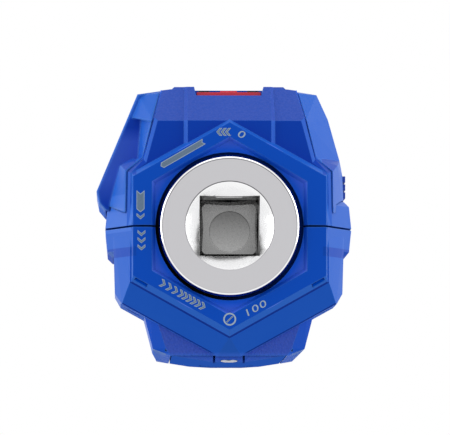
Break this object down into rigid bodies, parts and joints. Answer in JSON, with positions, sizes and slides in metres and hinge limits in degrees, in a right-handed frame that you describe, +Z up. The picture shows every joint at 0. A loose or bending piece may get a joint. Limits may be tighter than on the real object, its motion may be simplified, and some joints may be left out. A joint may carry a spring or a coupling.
{
  "type": "torque adapter",
  "caption": "Digital torque adapter: square socket and tang on a gauged shaft in a faceted blue housing with display, keys and sliding battery door.",
  "frame": {"origin": "centre of the square socket, on the front face of its round head", "axes": "+Y along the drive axis from socket to tang, +Z up through the keys and display, +X to the right seen from the socket end"},
  "size_m": [0.0553, 0.08, 0.0597],
  "materials": {
    "plated_steel": "bright nickel-chrome plate, ground front face",
    "blue_plastic": "moulded, smooth faces with fine spark texture on the brow",
    "grip_rubber": "soft ribbed",
    "seal_rubber": "plain",
    "lens_clear": "clear polished",
    "display_glass": "reflective liquid crystal",
    "white_plastic": "plain",
    "red_plastic": "smooth",
    "black_rubber": "smooth key top",
    "board_green": "solder resist",
    "chip_black": "plain",
    "spring_steel": "bright",
    "copper_foil": "amber film",
    "wire_red": "smooth insulation",
    "cell_jacket": "printed sleeve, bare of marks",
    "screw_steel": "black zinc"
  },
  "bodies": {
    "housing": {"torque_shaft": "plated_steel", "detent_spring": "spring_steel", "strain_gauges": "copper_foil", "gauge_ribbon": "copper_foil", "upper_shell": "blue_plastic", "lower_shell": "blue_plastic", "left_cheek": "blue_plastic", "right_cheek": "blue_plastic", "side_grip": "grip_rubber", "front_seal": "seal_rubber", "rear_seal": "seal_rubber", "display_lens": "lens_clear", "lcd_glass": "display_glass", "lcd_holder": "white_plastic", "keypad_tray": "red_plastic", "main_board": "board_green", "dome_switches": "spring_steel", "board_chips": "chip_black", "buzzer": "chip_black", "buzzer_wire": "wire_red", "battery_cells": "cell_jacket", "front_contacts": "spring_steel", "rear_contact": "spring_steel", "battery_leads": "wire_red", "housing_screws": "screw_steel", "board_screws": "screw_steel"},
    "ball": {"detent_ball": "spring_steel"},
    "power_key": {"power_key": "red_plastic"},
    "minus_key": {"minus_key": "black_rubber"},
    "plus_key": {"plus_key": "black_rubber"},
    "battery_door": {"battery_door": "blue_plastic"}
  },
  "joints": [
    {"name": "detent_ball_press", "type": "slide", "parent": "housing", "child": "ball", "axis": [0, 0, -1], "range_m": [0, 0.0011], "stiffness_N_per_m": 900, "springref_m": -0.001, "deforming": ["detent_spring"]},
    {"name": "power_key_press", "type": "slide", "parent": "housing", "child": "power_key", "axis": [0, 0, -1], "range_m": [0, 0.0005], "stiffness_N_per_m": 400, "springref_m": -0.0004},
    {"name": "minus_key_press", "type": "slide", "parent": "housing", "child": "minus_key", "axis": [0, 0, -1], "range_m": [0, 0.0005], "stiffness_N_per_m": 400, "springref_m": -0.0004},
    {"name": "plus_key_press", "type": "slide", "parent": "housing", "child": "plus_key", "axis": [0, 0, -1], "range_m": [0, 0.0005], "stiffness_N_per_m": 400, "springref_m": -0.0004},
    {"name": "battery_door_slide", "type": "slide", "parent": "housing", "child": "battery_door", "axis": [0, 1, 0], "range_m": [0, 0.048]}
  ]
}
